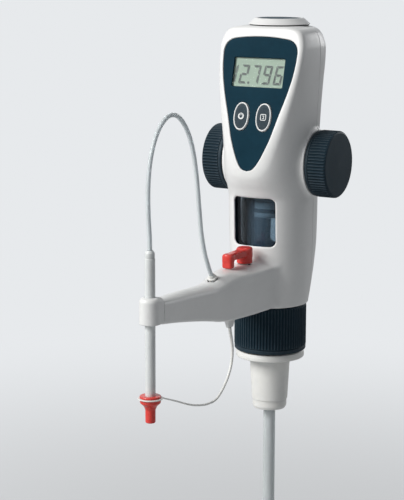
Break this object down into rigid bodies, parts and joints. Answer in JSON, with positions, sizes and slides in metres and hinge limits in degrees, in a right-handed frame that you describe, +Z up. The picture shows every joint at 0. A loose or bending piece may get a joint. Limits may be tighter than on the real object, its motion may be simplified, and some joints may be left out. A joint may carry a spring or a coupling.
{
  "type": "digital burette",
  "caption": "Bottle-top digital burette with a raked display head, side handwheels, a valve arm with a titrating tube and a ground-joint bottle adapter.",
  "frame": {"origin": "on the collar's axis, in the plane that rests on the bottle's mouth", "axes": "+X to the right, the display and the arm face -Y, +Z up"},
  "size_m": [0.0986, 0.211, 0.4381],
  "materials": {
    "white_shell": "fine satin",
    "dark_grip": "matte",
    "dark_face": "satin",
    "red_plastic": "satin gloss",
    "clear_pane": "polished",
    "borosilicate": "polished",
    "display_grey": "satin",
    "board_green": "satin",
    "cell_sleeve": "gloss",
    "frame_grey": "satin",
    "steel": "brushed",
    "brass": "machined",
    "seal_rubber": "matte",
    "ptfe": "waxy",
    "clear_tube": "smooth"
  },
  "bodies": {
    "burette_body": {"front_housing": "white_shell", "rear_housing": "white_shell", "face_plate": "dark_face", "lcd_window": "clear_pane", "lcd_module": "display_grey", "circuit_board": "board_green", "battery_holder": "frame_grey", "batteries": "cell_sleeve", "battery_door": "white_shell", "front_window": "clear_pane", "rear_window": "clear_pane", "top_cap": "white_shell", "top_cap_inlay": "dark_grip", "housing_screws": "steel", "gear_frame": "frame_grey", "shaft_bushes": "brass", "glass_cylinder": "borosilicate", "cylinder_seal": "seal_rubber", "valve_block": "frame_grey", "valve_chest": "frame_grey", "arm_housing": "white_shell", "discharge_line": "ptfe", "hose_port": "ptfe", "hose_up": "clear_tube", "tether_hang": "clear_tube", "tether_span": "clear_tube", "neck_seal": "seal_rubber", "bottle_adapter": "ptfe", "filling_valve": "ptfe", "upper_filling_tube": "clear_tube", "recirculation_tube": "clear_tube", "vent_plug": "white_shell"},
    "wheels": {"handwheel_left": "dark_grip", "handwheel_right": "dark_grip", "drive_shaft": "steel", "drive_pinion": "brass", "encoder_disc": "frame_grey"},
    "countershaft_group": {"countershaft": "steel", "reduction_gear": "frame_grey", "rack_pinion": "brass"},
    "piston_group": {"piston": "ptfe", "piston_seal": "seal_rubber", "rack_rod": "steel"},
    "power_key_group": {"power_key": "white_shell"},
    "clear_key_group": {"clear_key": "white_shell"},
    "valve_group": {"valve_stem": "ptfe", "valve_knob": "red_plastic"},
    "arm_extension": {"extension_rail": "white_shell", "tube_holder": "white_shell"},
    "tube_group": {"titrating_tube": "ptfe", "nozzle_tip": "ptfe", "hose_down": "clear_tube", "tether_rise": "clear_tube"},
    "cap_group": {"closure_cap": "red_plastic", "tether_ring": "ptfe"},
    "collar_group": {"collar": "dark_grip"},
    "filling_tube_group": {"lower_filling_tube": "clear_tube"}
  },
  "joints": [
    {"name": "handwheel_turn", "type": "hinge", "parent": "burette_body", "child": "wheels", "pos_m": [0, 0.0078, 0.142], "axis": [1, 0, 0], "range_deg": [-2345, 805]},
    {"name": "countershaft_turn", "type": "hinge", "parent": "burette_body", "child": "countershaft_group", "pos_m": [0, 0.0078, 0.16453], "axis": [1, 0, 0], "range_deg": [-202, 587]},
    {"name": "piston_slide", "type": "slide", "parent": "burette_body", "child": "piston_group", "axis": [0, 0, 1], "range_m": [-0.0461, 0.0159]},
    {"name": "power_key_press", "type": "slide", "parent": "burette_body", "child": "power_key_group", "axis": [0, 0.9707, -0.2402], "range_m": [0, 0.0012], "stiffness_N_per_m": 1500, "springref_m": -0.0003},
    {"name": "clear_key_press", "type": "slide", "parent": "burette_body", "child": "clear_key_group", "axis": [0, 0.9707, -0.2402], "range_m": [0, 0.0012], "stiffness_N_per_m": 1500, "springref_m": -0.0003},
    {"name": "valve_turn", "type": "hinge", "parent": "burette_body", "child": "valve_group", "pos_m": [0, -0.04, 0.08], "axis": [0, 0, 1], "range_deg": [0, 90]},
    {"name": "arm_extension_slide", "type": "slide", "parent": "burette_body", "child": "arm_extension", "axis": [0, -1, 0], "range_m": [0, 0.07]},
    {"name": "tube_slide", "type": "slide", "parent": "arm_extension", "child": "tube_group", "axis": [0, 0, 1], "range_m": [-0.028, 0.042]},
    {"name": "closure_cap_pull", "type": "slide", "parent": "tube_group", "child": "cap_group", "axis": [0, 0, -1], "range_m": [0, 0.02]},
    {"name": "collar_turn", "type": "hinge", "parent": "burette_body", "child": "collar_group", "pos_m": [0, 0, 0.02], "axis": [0, 0, 1], "continuous": true},
    {"name": "filling_tube_slide", "type": "slide", "parent": "burette_body", "child": "filling_tube_group", "axis": [0, 0, -1], "range_m": [0, 0.13]}
  ],
  "couplings": [
    {"joint": "countershaft_turn", "follows": "handwheel_turn", "ratio": -0.25},
    {"joint": "piston_slide", "follows": "handwheel_turn", "m_per_rad": 0.001125}
  ]
}
